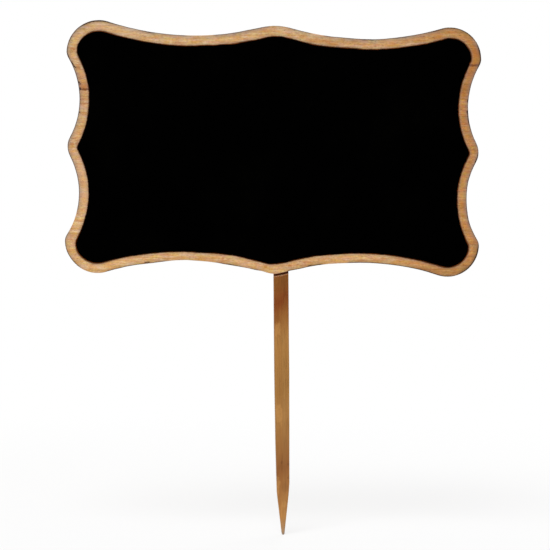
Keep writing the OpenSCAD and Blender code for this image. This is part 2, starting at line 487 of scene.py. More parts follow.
def painted_panel(full_coat, thin_coat):
    """The coat of paint: its thin edge wavers, bleeds along the grain, and is pointed on either side."""

    def bleed(place, outward):
        fibre = noise.noise(Vector((place.x / BLEED_LENGTH, 0, place.z / BLEED_WIDTH)))
        sway = noise.noise(Vector((place.x, 0, place.z)) / WAVER_LENGTH)
        sway += 0.5 * noise.noise(Vector((place.x, WAVER_LENGTH, place.z)) * 3 / WAVER_LENGTH)
        sideways = Vector((math.copysign(outward.x**2, outward.x), 0, 0))
        off_middle = abs(place.z - (panel_low.z + panel_high.z) / 2)
        point = SIDE_POINT * math.exp(-((off_middle / SIDE_POINT_LENGTH) ** 2))
        point -= SHOULDER_PULL * math.exp(-(((off_middle - SHOULDER) / SHOULDER_LENGTH) ** 2))
        stray = sway * WAVER + swell_at(place, PAINT_SWELLS)
        return outward * stray + sideways * (fibre * BLEED + point)

    piece = outlined_panel("painted_panel", (full_coat, thin_coat), bleed)
    mesh = bmesh.from_edit_mesh(piece.data)
    pick(mesh.edges, lambda edge: all(abs(vertex.co.y - panel_low.y) < SAME_POINT for vertex in edge.verts))
    bpy.ops.mesh.bevel(offset=PANEL_CORNER, segments=2, profile=0.5, affect="EDGES")
    mesh = bmesh.from_edit_mesh(piece.data)
    for face in mesh.faces:
        face.material_index = 0 if abs(face.normal.y) > FLAT_NORMAL else 1
    write_value(mesh, "thin", lambda place: covered_at(place, THIN_PAINTS))
    close_mesh(piece)
    return piece


# The stake and its glue

STAKE_SLICE = 1.5 * MM
STAKE_STRIP = 0.3 * MM
STAKE_HALF = 2 * MM
STAKE_CORNER = 0.24 * MM
STAKE_WANDER = 0.03 * MM
FIBRE_DEPTH = 0.05 * MM
FIBRE_WIDTH = 0.55 * MM
FIBRE_LENGTH = 26 * MM
WANDER_LENGTH = 11 * MM
LONG_CORNER = math.radians(40)
UPRIGHT_SHARE = 0.8
END_NORMAL = 0.7


def bamboo_stake(long_grain, end_grain):
    """The splint: long corners rubbed round, sides that wander a little, and fine ridges along it."""
    piece = copy_node("stake", "bamboo_stake", (long_grain, end_grain))
    mesh = open_mesh(piece, "EDGE")

    def long_corner(edge):
        along = edge.verts[1].co - edge.verts[0].co
        return edge.calc_face_angle(0) > LONG_CORNER and abs(along.z) > UPRIGHT_SHARE * along.length

    pick(mesh.edges, long_corner)
    bpy.ops.mesh.bevel(offset=STAKE_CORNER, segments=3, profile=0.5, affect="EDGES")
    slice_through(stake_low.z, stake_high.z, STAKE_SLICE, (0, 0, 1))
    across = Vector((math.cos(stake_lean), 0, math.sin(stake_lean)))
    slice_through(-STAKE_HALF, STAKE_HALF, STAKE_STRIP, tuple(across))
    mesh = bmesh.from_edit_mesh(piece.data)
    mesh.normal_update()

    def split_and_rubbed(vertex):
        aside = vertex.co.dot(across)
        height = vertex.co.z
        face = math.copysign(2, vertex.normal.y)
        ridge = 0.5 + 0.5 * noise.noise(Vector((aside / FIBRE_WIDTH, face, height / FIBRE_LENGTH)))
        inward = Vector((0, -vertex.normal.y, 0)) * (FIBRE_DEPTH * ridge)
        wander = noise.noise(Vector((math.copysign(2, aside), 7, height / WANDER_LENGTH)))
        return inward + across * (STAKE_WANDER * wander * min(1, abs(aside) / MM))

    move_each(mesh, split_and_rubbed)
    for face in mesh.faces:
        face.material_index = 1 if face.normal.z > END_NORMAL else 0
    close_mesh(piece)
    return piece


GLUE_VOXEL = 0.1 * MM
GLUE_SOFTNESS = 0.6
GLUE_ROUNDS = 5
GLUE_LUMP = 0.14 * MM
GLUE_LUMP_LENGTH = 2.4 * MM
GLUE_LUMP_LEVEL = 0.3


def glue_bead(material):
    """The glue: its built-up shape melted smooth, with slow lumps along it."""
    piece = copy_node("hot_glue", "glue_bead", (material,))
    remesh = piece.modifiers.new("melt", "REMESH")
    remesh.mode = "VOXEL"
    remesh.voxel_size = GLUE_VOXEL
    bpy.ops.object.modifier_apply(modifier="melt")
    soften = piece.modifiers.new("soften", "SMOOTH")
    soften.factor = GLUE_SOFTNESS
    soften.iterations = GLUE_ROUNDS
    bpy.ops.object.modifier_apply(modifier="soften")
    points = piece.data.vertices
    normals = [vertex.normal.copy() for vertex in points]
    for vertex, normal in zip(points, normals):
        if vertex.co.y > rear_high.y + 2 * GLUE_VOXEL and vertex.co.z > board_low.z:
            lump = noise.noise(vertex.co / GLUE_LUMP_LENGTH) - GLUE_LUMP_LEVEL
            vertex.co += normal * (GLUE_LUMP * lump)
    take(piece)
    bpy.ops.object.shade_smooth()
    return piece


# Shader nodes


def feed(tree, node, inputs):
    """Gives each input of a node its value, or links the socket that feeds it."""
    for name, value in inputs.items():
        if isinstance(value, bpy.types.NodeSocket):
            tree.links.new(value, node.inputs[name])
        else:
            node.inputs[name].default_value = value


def add(tree, kind, inputs=None, **settings):
    """Adds a node with its inputs and settings."""
    made = tree.nodes.new(kind)
    for name, value in settings.items():
        setattr(made, name, value)
    feed(tree, made, inputs or {})
    return made


def maths(tree, operation, *values):
    """One step of arithmetic on numbers and sockets."""
    return add(tree, "ShaderNodeMath", dict(enumerate(values)), operation=operation).outputs[0]


def times(tree, first, second):
    """The product of two numbers or sockets."""
    return maths(tree, "MULTIPLY", first, second)


def scaled(tree, value, slope, start):
    """A value times a slope, added to a start."""
    return maths(tree, "MULTIPLY_ADD", value, slope, start)


def ease(tree, value, low, high):
    """Runs smoothly from 0 to 1 as value goes from low to high, which may be the smaller."""
    made = add(tree, "ShaderNodeMapRange", {"Value": value, "From Min": low, "From Max": high},
               interpolation_type="SMOOTHSTEP")
    return made.outputs["Result"]


def blend(tree, share, first, second, kind="MIX"):
    """Mixes two colours."""
    made = add(tree, "ShaderNodeMix", {0: share, 6: first, 7: second}, data_type="RGBA", blend_type=kind)
    return made.outputs[2]


def shade(tree, tone, mask, share, tint):
    """Multiplies a tone by a tint where a mask is, by up to a share."""
    return blend(tree, times(tree, mask, share), tone, tint, "MULTIPLY")


def stain(tree, tone, mask, share, ink):
    """Covers a tone with another colour where a mask is, by up to a share."""
    return blend(tree, times(tree, mask, share), tone, ink)


def cloud(tree, vector, scale, detail=2.0, roughness=0.5, distortion=0.0):
    """A noise value over a vector."""
    return add(tree, "ShaderNodeTexNoise",
               {"Vector": vector, "Scale": scale, "Detail": detail, "Roughness": roughness,
                "Distortion": distortion}).outputs[0]


def stretch(tree, vector, scale):
    """A vector with its parts scaled."""
    return add(tree, "ShaderNodeVectorMath", {0: vector, 1: scale}, operation="MULTIPLY").outputs[0]


def take_away(tree, vector, other):
    """A vector less another."""
    return add(tree, "ShaderNodeVectorMath", {0: vector, 1: other}, operation="SUBTRACT").outputs[0]


def part(tree, vector, axis):
    """One part of a vector."""
    return add(tree, "ShaderNodeSeparateXYZ", {0: vector}).outputs[axis]


def new_group(name, inputs, outputs):
    """An empty shader group with named sockets: its tree, its inputs and its output node."""
    tree = bpy.data.node_groups.new(name, "ShaderNodeTree")
    for socket, value in inputs.items():
        kind = "NodeSocketVector" if value is None or isinstance(value, tuple) else "NodeSocketFloat"
        made = tree.interface.new_socket(socket, in_out="INPUT", socket_type=kind)
        if value is not None:
            made.default_value = value
    for socket in outputs:
        tree.interface.new_socket(socket, in_out="OUTPUT", socket_type="NodeSocketFloat")
    return tree, tree.nodes.new("NodeGroupInput").outputs, tree.nodes.new("NodeGroupOutput")


def use(tree, group, inputs):
    """Places a group in a material, and gives its outputs."""
    return add(tree, "ShaderNodeGroup", inputs, node_tree=group).outputs


def wood_fibre_group():
    """Wood with its grain along X, in millimetres: fine fibres, bands, broad figure and pores."""
    tree, given, out = new_group(
        "wood_fibre",
        {"Vector": None, "Fibre Length": 5.0, "Fibre Width": 0.3, "Band Length": 26.0, "Band Width": 1.3,
         "Figure Length": 60.0, "Figure Width": 14.0, "Figure Lines": 7.0,
         "Pore Length": 1.3, "Pore Width": 0.14, "Pore Level": 0.64},
        ("Fibre", "Band", "Figure", "Pore"))

    def grain(what, *kind):
        x = maths(tree, "DIVIDE", 1.0, given[what + " Length"])
        z = maths(tree, "DIVIDE", 1.0, given[what + " Width"])
        scale = add(tree, "ShaderNodeCombineXYZ", {0: x, 1: z, 2: z}).outputs[0]
        return cloud(tree, stretch(tree, given["Vector"], scale), 1.0, *kind)

    fibre = ease(tree, grain("Fibre", 3.0, 0.65), 0.3, 0.7)
    band = ease(tree, grain("Band", 2.5, 0.6), 0.32, 0.68)
    lines = times(tree, grain("Figure", 1.5, 0.4, 0.3), given["Figure Lines"])
    figure = ease(tree, maths(tree, "PINGPONG", lines, 0.5), 0.0, 0.5)
    pore_top = maths(tree, "ADD", given["Pore Level"], 0.09)
    pore = ease(tree, grain("Pore", 1.0, 0.4), given["Pore Level"], pore_top)
    feed(tree, out, {"Fibre": fibre, "Band": band, "Figure": figure, "Pore": pore})
    return tree


def scorch_group():
    """The burn beside a laser cut, by the distance to it in millimetres: a line of char, then smoke.

    Extra adds to the burn, or takes from it where it is below 0.
    """
    tree, given, out = new_group(
        "scorch",
        {"Vector": None, "Distance": 0.0, "Char Width": 0.2, "Char Least": 0.3, "Smoke Width": 0.8,
         "Smoke Least": 0.5, "Patch Size": 7.0, "Extra": 0.0},
        ("Char", "Smoke"))
    patch_scale = maths(tree, "DIVIDE", 1.0, given["Patch Size"])
    patch = ease(tree, cloud(tree, given["Vector"], patch_scale, 2.5, 0.6), 0.4, 0.66)
    patch = maths(tree, "MAXIMUM", maths(tree, "ADD", patch, given["Extra"]), 0.0)
    patch = maths(tree, "MINIMUM", patch, 1.3)

    def patchy(least):
        return scaled(tree, patch, maths(tree, "SUBTRACT", 1.0, given[least]), given[least])

    ragged = cloud(tree, given["Vector"], 2.6, 2.0, 0.6)
    reach = times(tree, given["Char Width"], maths(tree, "ADD", times(tree, ragged, 1.2), patch))
    char = ease(tree, given["Distance"], reach, times(tree, reach, 0.3))
    near = maths(tree, "SUBTRACT", 1.0, maths(tree, "DIVIDE", given["Distance"], given["Smoke Width"]))
    smoke = maths(tree, "POWER", maths(tree, "MAXIMUM", near, 0.0), 2.0)
    feed(tree, out, {"Char": times(tree, char, patchy("Char Least")),
                     "Smoke": times(tree, smoke, patchy("Smoke Least"))})
    return tree


def grain_mark_group():
    """A streak or spot about a place in millimetres, a little ragged all round. Slope tips it up."""
    tree, given, out = new_group(
        "grain_mark",
        {"Vector": None, "Place": (0.0, 0.0, 0.0), "Half Length": 1.0, "Half Width": 0.2, "Slope": 0.0,
         "Ragged": 1.0}, ("Mark",))
    sway = cloud(tree, given["Vector"], 1.3, 2.0, 0.6)
    off = take_away(tree, given["Vector"], given["Place"])
    x = part(tree, off, 0)
    level = maths(tree, "SUBTRACT", part(tree, off, 2), times(tree, x, given["Slope"]))
    most = times(tree, given["Half Width"], times(tree, given["Ragged"], 2.0))
    ragged = times(tree, maths(tree, "SUBTRACT", sway, 0.5), most)

    def share_of(distance, half, power):
        share = maths(tree, "ABSOLUTE", maths(tree, "DIVIDE", distance, given[half]))
        return maths(tree, "POWER", share, power)

    across = share_of(maths(tree, "ADD", level, ragged), "Half Width", 2.0)
    along = share_of(x, "Half Length", 4.0)
    feed(tree, out, {"Mark": ease(tree, maths(tree, "ADD", along, across), 1.0, 0.1)})
    return tree


WOOD_FIBRE = wood_fibre_group()
SCORCH = scorch_group()
GRAIN_MARK = grain_mark_group()


def empty_tree(owner):
    """The cleared node tree of a material or a world."""
    owner.use_nodes = True
    owner.node_tree.nodes.clear()
    return owner.node_tree


def millimetres(tree, origin, turn=(0, 0, 0)):
    """Object coordinates in millimetres from a point of the model, turned for the grain."""
    place = take_away(tree, tree.nodes.new("ShaderNodeTexCoord").outputs["Object"], tuple(origin))
    inputs = {0: place, "Rotation": turn, "Scale": (1 / MM, 1 / MM, 1 / MM)}
    return add(tree, "ShaderNodeMapping", inputs).outputs[0]


def new_material(name, origin, turn=(0, 0, 0)):
    """A material, its tree, its shader and the place on the piece in millimetres from a point."""
    material = bpy.data.materials.new(name)
    tree = empty_tree(material)
    shader = add(tree, "ShaderNodeBsdfPrincipled")
    add(tree, "ShaderNodeOutputMaterial", {0: shader.outputs[0]})
    return material, tree, shader, millimetres(tree, origin, turn)


def written(tree, name):
    """A value written on the piece's vertices."""
    return add(tree, "ShaderNodeAttribute", attribute_name=name).outputs["Fac"]


PLAIN_GLOSS = 0.5


def surface(tree, shader, tone, rough, gloss, height, depth):
    """Feeds a shader its colour, its roughness, its gloss, and a relief with its depth in millimetres."""
    bump = add(tree, "ShaderNodeBump", {"Height": height, "Distance": depth * MM})
    feed(tree, shader, {"Base Color": tone, "Roughness": rough, "Specular IOR Level": gloss,
                        "Normal": bump.outputs[0]})


def add_marks(tree, tone, place, lists):
    """Stains a tone at each list's marks. A list comes with its share, its ink and how ragged it is."""
    for marks, share, ink, ragged in lists:
        mask = 0.0
        for mark_x, mark_z, half_length, half_width, slope in marks:
            mark = use(tree, GRAIN_MARK, {"Vector": place, "Place": (mark_x, 0, mark_z), "Slope": slope,
                                          "Half Length": half_length, "Half Width": half_width,
                                          "Ragged": ragged})
            mask = maths(tree, "MAXIMUM", mask, mark["Mark"])
        tone = stain(tree, tone, mask, share, ink)
    return tone


# Marks of the front veneer: how far right of the board's middle and above it, a half length and a half
# width in millimetres, and a slope
BROWN_STREAKS = (
    (-45.7, 13.65, 1.7, 0.34, 0.0),
    (48.4, 21.15, 2.2, 0.38, 0.02),
    (-47.3, -0.3, 0.3, 0.35, 0.0),
    (21.5, 27.2, 0.5, 0.25, 0.1),
    (-46.8, 14.9, 0.3, 0.3, 0.0),
)
FAINT_STREAKS = (
    (-46.0, 11.9, 1.3, 0.12, 0.0),
    (-46.1, 8.1, 1.3, 0.12, 0.0),
    (-47.1, 19.55, 1.0, 0.13, 0.0),
    (48.5, 23.45, 1.5, 0.14, 0.0),
    (48.7, 24.5, 1.4, 0.9, 0.0),
    (47.0, 5.1, 0.8, 0.14, 0.0),
    (-47.3, 18.8, 0.7, 0.5, 0.0),
    (-46.9, 16.3, 0.6, 0.4, 0.0),
    (-46.2, 14.3, 1.6, 1.2, 0.0),
    (-48.6, 23.2, 0.8, 0.4, 0.0),
    (-48.4, 1.9, 0.8, 0.16, -0.35),
    (-48.6, 0.6, 0.6, 0.5, 0.0),
    (-1.9, -28.3, 0.45, 0.4, 0.0),
    (4.0, -27.95, 0.5, 0.35, 0.0),
    (-12.2, -26.3, 0.4, 0.4, 0.4),
    (47.3, -17.2, 0.35, 0.3, 0.0),
    (-47.3, 0.6, 0.5, 0.5, 0.0),
)
CHAR_SPOTS = (
    (-48.65, 19.75, 0.4, 0.3, -1.0),
    (-48.15, 19.0, 0.38, 0.28, -1.0),
    (-47.1, 15.3, 0.3, 0.3, 0.0),
    (-46.9, 13.7, 0.35, 0.5, 0.0),
    (-46.95, 8.2, 0.35, 0.16, 0.0),
    (-30.4, -27.5, 0.8, 0.2, 0.1),
    (-49.9, -20.5, 0.22, 0.45, 0.0),
    (21.4, 26.95, 0.75, 0.24, 0.0),
    (8.8, -27.85, 0.6, 0.11, 0.2),
    (45.4, 29.5, 0.5, 0.25, -0.5),
    (46.8, 12.5, 0.22, 0.6, 0.0),
    (46.7, 9.8, 0.22, 0.6, 0.0),
)
SOFT_PATCHES = (
    (-47.0, 13.2, 3.0, 5.2, 0.0),
    (49.5, 20.2, 3.5, 5.0, 0.0),
)
DARK_PATCHES = (
    (47.3, 14.5, 2.5, 3.0, 0.0),
    (42.0, -27.5, 7.0, 4.0, 0.0),
)
OLIVE_PATCHES = (
    (49.6, -24.5, 1.3, 4.5, 0.0),
    (47.4, -28.0, 2.0, 1.0, 0.0),
)
GOLD_PATCHES = (
    (49.2, 24.2, 2.4, 1.1, 0.0),
    (48.5, 22.0, 3.0, 1.5, 0.0),
)
PINK_PATCHES = ((-46.5, -8.0, 3.0, 8.0, 0.0),)
LIGHT_PATCHES = ((-38.5, 28.3, 7.0, 4.0, 0.0),)
PALE_WOOD = colour(249, 221, 181)
WARM_WOOD = colour(226, 173, 120)
CHAR = colour(46, 30, 20)
SMOKE = colour(104, 112, 122)
LOW_SMOKE = colour(114, 90, 62)
HEAVY_SMOKE = colour(116, 94, 70)
MARK_BROWN = colour(112, 60, 22)
FAINT_BROWN = colour(172, 104, 48)
PINK_WOOD = colour(214, 172, 136)
LIGHT_WOOD = colour(240, 208, 168)
OLIVE_BURN = colour(96, 72, 30)
GOLD_WOOD = colour(170, 106, 38)
PALE_CORNER = colour(212, 168, 124)
PAINT_STAIN = colour(58, 24, 0)
PAINT_HAZE = colour(124, 114, 112)
REAR_SMOKE = colour(120, 82, 48)

# The front's marks in the order in which they are laid: their list, share, ink and raggedness
RIM_MARKS = (
    (SOFT_PATCHES, 0.3, FAINT_BROWN, 0.1),
    (DARK_PATCHES, 0.12, MARK_BROWN, 0.1),
    (OLIVE_PATCHES, 0.22, OLIVE_BURN, 0.2),
    (GOLD_PATCHES, 0.35, GOLD_WOOD, 0.2),
    (PINK_PATCHES, 0.3, PINK_WOOD, 0.1),
    (LIGHT_PATCHES, 0.18, LIGHT_WOOD, 0.1),
    (FAINT_STREAKS, 0.55, FAINT_BROWN, 1.0),
    (BROWN_STREAKS, 0.85, MARK_BROWN, 1.0),
)
BURNT_MARKS = ((CHAR_SPOTS, 0.9, CHAR, 1.0),)

# Specks in the birch, orange, pink, gold and grey: how each kind is stretched, its scale, share and tint
SPECKS = (
    ((0.3, 1, 1.5), 0.9, 1.0, (1.0, 0.78, 0.6, 1)),
    ((-0.4, 1, 1.9), 1.1, 1.0, (0.92, 0.8, 0.92, 1)),
    ((0.45, 1, -1.7), 0.8, 1.0, (0.97, 0.96, 0.58, 1)),
    ((0.6, 1, 1.4), 0.8, 0.7, (0.88, 0.86, 0.84, 1)),
)
# The shades of the birch's grain: its kind, its share and its tint
BIRCH_GRAIN = (
    ("Figure", 0.5, (0.86, 0.8, 0.74, 1)),
    ("Band", 0.8, (0.8, 0.72, 0.62, 1)),
    ("Fibre", 0.8, (0.8, 0.74, 0.66, 1)),
)
# Where it turns warm and dark to the right, and darker and cooler towards the top as painted shade, from
# the board's middle
WARM_SPAN = (6.0, 56.0)
DARK_SPAN = (15.0, 50.0)
TOP_SHADE_SPAN = (-32.0, 32.0)
TOP_SHADE_TINT = (0.92, 0.94, 0.98, 1)
GRIT_TINT = (0.85, 0.84, 0.83, 1)
OLIVE_TINT = (0.9, 1.0, 0.86, 1)
DARK_SIDE_TINT = (0.86, 0.82, 0.76, 1)


def specks(tree, place, stretched, scale):
    """A mask of small soft specks."""
    return ease(tree, cloud(tree, stretch(tree, place, stretched), scale, 3.0, 0.7), 0.37, 0.63)


def birch(tree, place):
    """Bare birch, paler to the left and warmer to the right: its colour and the grain behind it."""
    wood = use(tree, WOOD_FIBRE, {"Vector": place})
    upward = part(tree, place, 2)
    drift = scaled(tree, cloud(tree, place, 0.05, 2.0), 20.0, -10.0)
    across = scaled(tree, upward, 0.06, maths(tree, "ADD", part(tree, place, 0), drift))
    dark_side = ease(tree, across, *DARK_SPAN)
    tone = blend(tree, ease(tree, across, *WARM_SPAN), PALE_WOOD, WARM_WOOD)
    # painted shade: the birch darker and cooler towards the top
    tone = shade(tree, tone, ease(tree, upward, *TOP_SHADE_SPAN), 1.0, TOP_SHADE_TINT)
    for kind, share, tint in BIRCH_GRAIN:
        tone = shade(tree, tone, wood[kind], share, tint)
    for stretched, scale, share, tint in SPECKS:
        tone = shade(tree, tone, specks(tree, place, stretched, scale), share, tint)
    grit = ease(tree, cloud(tree, place, 1.8, 2.0, 0.7), 0.38, 0.62)
    tone = shade(tree, tone, grit, 1.0, GRIT_TINT)
    olive = specks(tree, place, (0.5, 1, 1.1), 0.55)
    tone = shade(tree, tone, times(tree, olive, dark_side), 1.0, OLIVE_TINT)
    tone = shade(tree, tone, times(tree, wood["Fibre"], dark_side), 0.6, DARK_SIDE_TINT)
    tone = stain(tree, tone, wood["Pore"], 0.35, MARK_BROWN)
    return tone, wood


def finish_wood(tree, shader, tone, wood):
    """Feeds a veneer's colour, roughness and grain relief to its shader."""
    height = maths(tree, "SUBTRACT", times(tree, wood["Fibre"], 0.5), wood["Pore"])
    surface(tree, shader, tone, scaled(tree, wood["Fibre"], 0.14, 0.58), 0.12, height, 0.04)


# How far paint's haze and stain reach into the wood, more to the right, and where smoke turns brown
HAZE_SPAN = (0.8, 0.05)
HAZE_SHARE = 0.36
SEEP_CHANGE = 0.44
SEEP_LEAST = -0.03
SEEP_RIGHT = (25.0, 45.0)
SEEP_RIGHT_REACH = 0.05
LOW_SMOKE_SPAN = (-28.0, -16.0)
HEAVY_SMOKE_SPAN = (0.0, 0.9)


def front_veneer_material():
    """The rim: bare wood with its marks, char along the cut, and the paint's stained and hazy border."""
    material, tree, shader, place = new_material("front_veneer_wood", board_middle)
    tone, wood = birch(tree, place)
    tone = add_marks(tree, tone, place, RIM_MARKS)
    paint = times(tree, written(tree, "paint_distance"), -1.0)
    tone = stain(tree, tone, ease(tree, paint, *HAZE_SPAN), HAZE_SHARE, PAINT_HAZE)
    seep = scaled(tree, cloud(tree, place, 1.1, 3.0, 0.7), SEEP_CHANGE, SEEP_LEAST)
    seep = maths(tree, "ADD", written(tree, "seep"), seep)
    seep = scaled(tree, ease(tree, part(tree, place, 0), *SEEP_RIGHT), SEEP_RIGHT_REACH, seep)
    tone = stain(tree, tone, ease(tree, paint, seep, 0.0), 0.9, PAINT_STAIN)
    burn = use(tree, SCORCH, {"Vector": place, "Distance": written(tree, "cut_distance"),
                              "Extra": written(tree, "burn"), "Char Width": 0.26, "Char Least": 0.4,
                              "Smoke Width": 1.4, "Smoke Least": 0.63})
    kept = maths(tree, "SUBTRACT", 1.0, written(tree, "clean"))
    smoke = blend(tree, ease(tree, part(tree, place, 2), *LOW_SMOKE_SPAN), LOW_SMOKE, SMOKE)
    smoke = blend(tree, ease(tree, written(tree, "burn"), *HEAVY_SMOKE_SPAN), smoke, HEAVY_SMOKE)
    tone = stain(tree, tone, times(tree, burn["Smoke"], kept), 0.9, smoke)
    tone = stain(tree, tone, times(tree, burn["Char"], kept), 0.95, CHAR)
    tone = add_marks(tree, tone, place, BURNT_MARKS)
    finish_wood(tree, shader, tone, wood)
    return material


# Moves the pattern of the birch for the back of the board
REAR_SHIFT = Vector((0, 3 * MM, 40 * MM))


def rear_veneer_material():
    """The bare back of the board: plain birch, with smoke from the laser drawn wider round its edge."""
    material, tree, shader, place = new_material("rear_veneer_wood", board_middle + REAR_SHIFT)
    tone, wood = birch(tree, place)
    burn = use(tree, SCORCH, {"Vector": place, "Distance": written(tree, "cut_distance"),
                              "Patch Size": 10.0, "Char Width": 0.3, "Char Least": 0.4,
                              "Smoke Width": 5.5, "Smoke Least": 0.3})
    tone = stain(tree, tone, burn["Smoke"], 0.6, REAR_SMOKE)
    tone = stain(tree, tone, burn["Char"], 0.95, CHAR)
    finish_wood(tree, shader, tone, wood)
    return material


OUTER_CHAR = colour(44, 28, 18)
OUTER_BROWN = colour(118, 76, 42)
CORE_CHAR = colour(36, 23, 15)
CORE_BROWN = colour(92, 56, 30)
# How deep a pale corner reaches behind the board's face where the cut is clean
PALE_CORNER_SPAN = (0.3, 0.12)


def cut_edge_material(name, dark, light, grain_turn):
    """The laser-cut edge of a layer: charred brown, with the beam's fine lines across the sheet."""
    material, tree, shader, place = new_material(name, board_middle)
    beam = cloud(tree, stretch(tree, place, (3.2, 0.15, 3.2)), 1.0, 3.0, 0.7)
    patch = cloud(tree, place, 0.14, 2.0, 0.6)
    wood = use(tree, WOOD_FIBRE, {"Vector": millimetres(tree, board_middle, grain_turn), "Pore Level": 0.6})
    share = ease(tree, scaled(tree, beam, 0.6, times(tree, patch, 0.5)), 0.38, 0.72)
    tone = blend(tree, share, dark, light)
    tone = stain(tree, tone, wood["Fibre"], 0.5, dark)
    front_corner = ease(tree, part(tree, place, 1), *PALE_CORNER_SPAN)
    tone = stain(tree, tone, times(tree, front_corner, written(tree, "clean")), 1.0, PALE_CORNER)
    height = scaled(tree, wood["Pore"], -0.6, beam)
    surface(tree, shader, tone, scaled(tree, share, 0.15, 0.62), 0.2, height, 0.06)
    return material


PAINT_BLACK = (0.0001, 0.0001, 0.0001, 1)
WORN_BLACK = (0.0004, 0.0004, 0.0003, 1)
THIN_DARK = colour(34, 15, 2)
THIN_BROWN = colour(126, 60, 6)
PAINT_GLOSS = 0.003
# Where the thin edge gets barer to the right, and how bare it may be
BARE_SPAN = (-80.0, 40.0)
BAREST = 1.2


def chalkboard_paint_material():
    """Dead matte black paint, with the faint peel of a roller."""
    material, tree, shader, place = new_material("chalkboard_paint", board_middle)
    peel = cloud(tree, place, 2.4, 3.0, 0.6)
    wood = use(tree, WOOD_FIBRE, {"Vector": place})
    worn = ease(tree, cloud(tree, place, 0.06, 4.0, 0.6), 0.45, 0.75)
    height = scaled(tree, wood["Fibre"], 0.35, peel)
    rough = scaled(tree, peel, 0.1, 0.85)
    surface(tree, shader, blend(tree, worn, PAINT_BLACK, WORN_BLACK), rough, PAINT_GLOSS, height, 0.03)
    return material


def thin_paint_material():
    """The paint's edge, so thin that the wood's brown shows through it, and more to the right."""
    material, tree, shader, place = new_material("thin_paint", board_middle)
    patch = ease(tree, cloud(tree, place, 0.5, 2.0, 0.6), 0.35, 0.65)
    bare = times(tree, patch, ease(tree, part(tree, place, 0), *BARE_SPAN))
    bare = maths(tree, "MINIMUM", maths(tree, "ADD", bare, written(tree, "thin")), BAREST)
    feed(tree, shader, {"Base Color": blend(tree, bare, THIN_DARK, THIN_BROWN), "Roughness": 0.9,
                        "Specular IOR Level": PAINT_GLOSS})
    return material


# The bamboo's tone up the stake: height above the tip in millimetres, and colour
BAMBOO_TONES_AND_SHADE = (
    (0.0, colour(146, 154, 160)),
    (1.2, colour(187, 152, 114)),
    (4.0, colour(198, 143, 80)),
    (16.5, colour(151, 98, 50)),
    (29.0, colour(179, 131, 72)),
    (35.5, colour(167, 120, 62)),
    (48.0, colour(177, 127, 66)),
    # the darker stops under the board, from 53.5 to 63 mm, are partly the bamboo's stain and partly painted
    # shadow of the board
    (53.5, colour(155, 100, 44)),
    (57.5, colour(134, 71, 24)),
    (63.0, colour(171, 109, 46)),
    (100.0, colour(190, 146, 90)),
)
LIGHT_BAMBOO = colour(200, 146, 82)
RED_BAMBOO = colour(134, 60, 14)
DARK_BAMBOO = colour(104, 62, 30)
BAMBOO_PORE = colour(84, 46, 18)
BAMBOO_GRAIN = (
    ("Band", 0.6, (0.84, 0.76, 0.7, 1)),
    ("Fibre", 0.35, (0.84, 0.76, 0.68, 1)),
)
# A dark strip along the splint: how far right of its middle, and its soft half width
DARK_STRIP = 0.45
DARK_STRIP_SPAN = (0.75, 0.3)
DARK_STRIP_TINT = (0.86, 0.88, 0.96, 1)
END_PALE = colour(196, 158, 108)
END_BROWN = colour(168, 126, 80)
FIBRE_BUNDLE = colour(98, 62, 34)

# Marks of the stake, given like those of the front veneer but from its tip
STAKE_PATCHES = (
    (-1.3, 12.0, 0.5, 3.0, 0.0),
    (0.2, 7.6, 0.7, 0.9, 0.0),
    (-0.8, 29.6, 0.9, 3.2, 0.0),
    (-0.9, 50.3, 0.9, 2.0, 0.0),
    (-1.0, 12.8, 0.5, 0.8, 0.0),
)
RED_STAKE_PATCHES = ((-0.5, 57.5, 1.3, 3.5, 0.0),)
DARK_STAKE_PATCHES = ((0.6, 11.5, 1.0, 1.5, 0.0),)
STAKE_SPOTS = (
    (1.45, 17.4, 0.5, 0.35, 0.0),
    (1.4, 14.0, 0.4, 0.3, 0.0),
    (-0.3, 17.9, 0.25, 0.35, 0.0),
)
STAKE_MARKS = (
    (STAKE_PATCHES, 0.4, LIGHT_BAMBOO, 1.0),
    (RED_STAKE_PATCHES, 0.3, RED_BAMBOO, 1.0),
    (DARK_STAKE_PATCHES, 0.2, DARK_BAMBOO, 1.0),
    (STAKE_SPOTS, 0.45, DARK_BAMBOO, 1.0),
)


